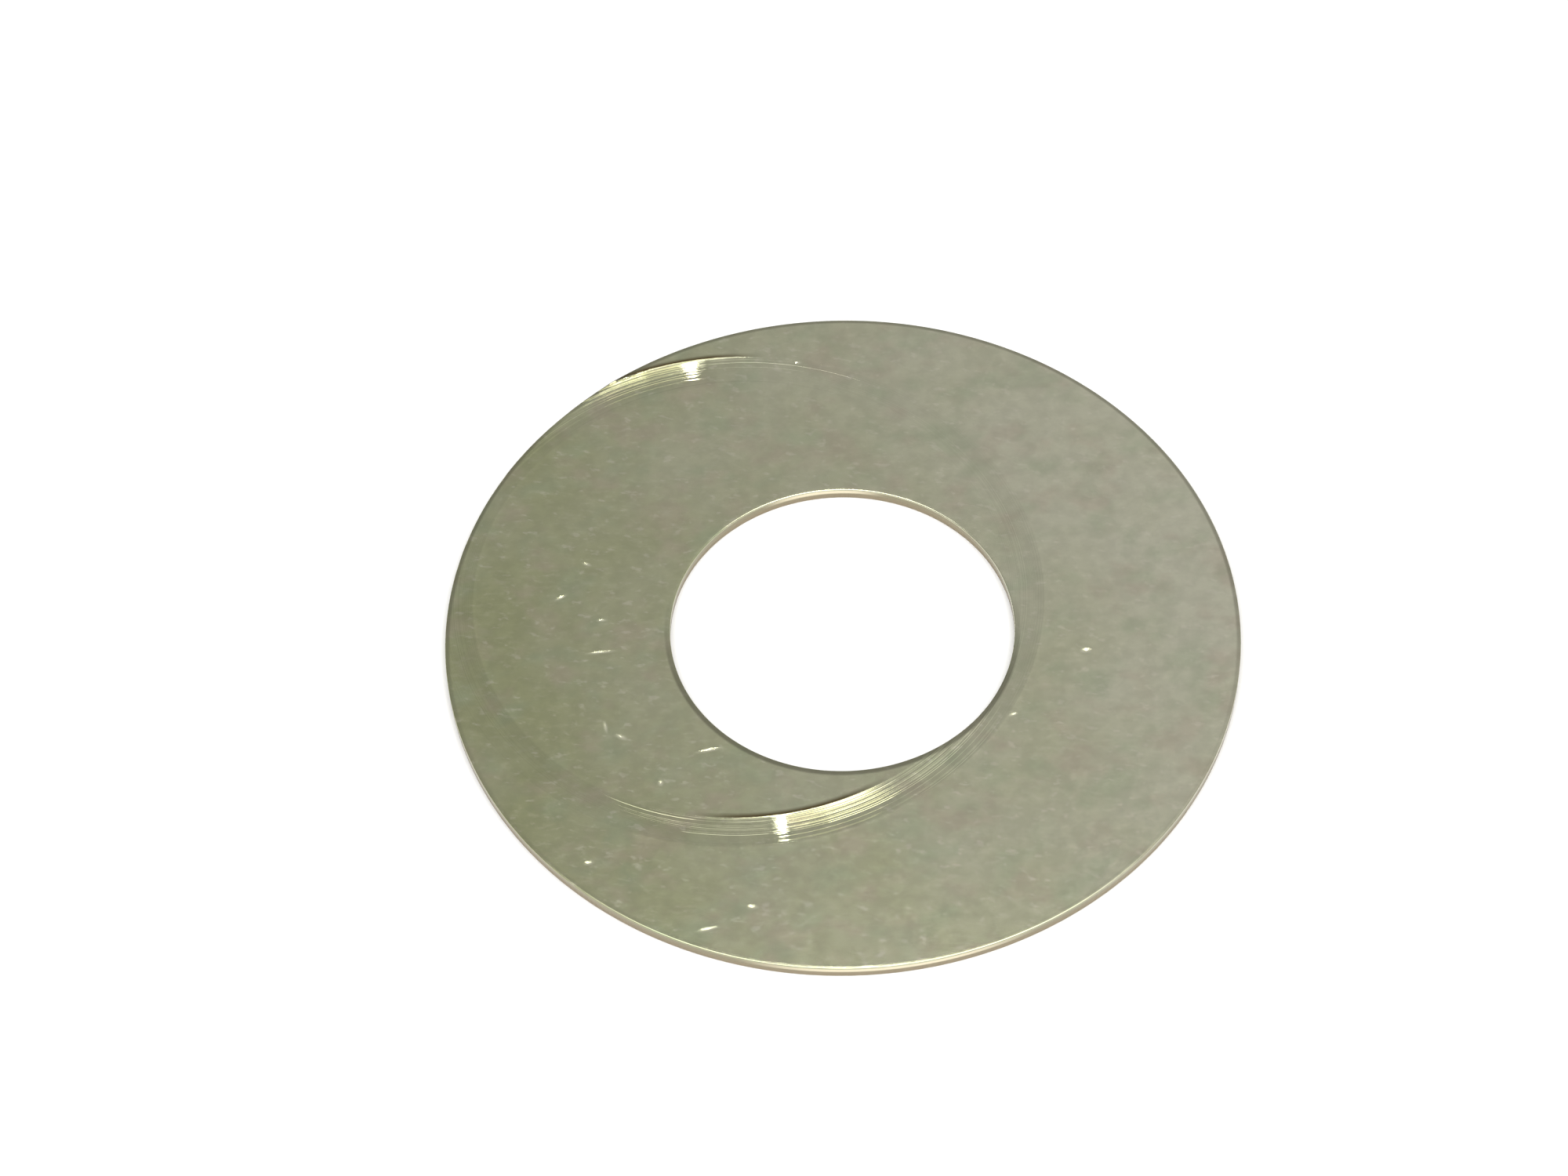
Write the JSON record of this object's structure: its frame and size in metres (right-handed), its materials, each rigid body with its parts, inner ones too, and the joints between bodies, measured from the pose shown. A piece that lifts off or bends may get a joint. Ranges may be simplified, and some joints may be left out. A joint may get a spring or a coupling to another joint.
{
  "type": "flat washer",
  "caption": "Thin flat washer with a clearance bore, blanked from plated steel sheet, with a shallow eccentric ring groove pressed in its upper face.",
  "frame": {"origin": "centre of the bore on the flat underside", "axes": "+Z along the bore, out of the upper face, which has the rounded edges and the ring groove; +X away from the side that the groove's centre lies on, 23.2 degrees off it"},
  "size_m": [0.06, 0.06, 0.001],
  "materials": {
    "plated_steel": "cold-rolled sheet steel with a thin yellow passivated zinc plating, satin, slightly darker and greener on one side, fine handling scratches"
  },
  "bodies": {
    "root": {"washer": "plated_steel"}
  },
  "joints": []
}
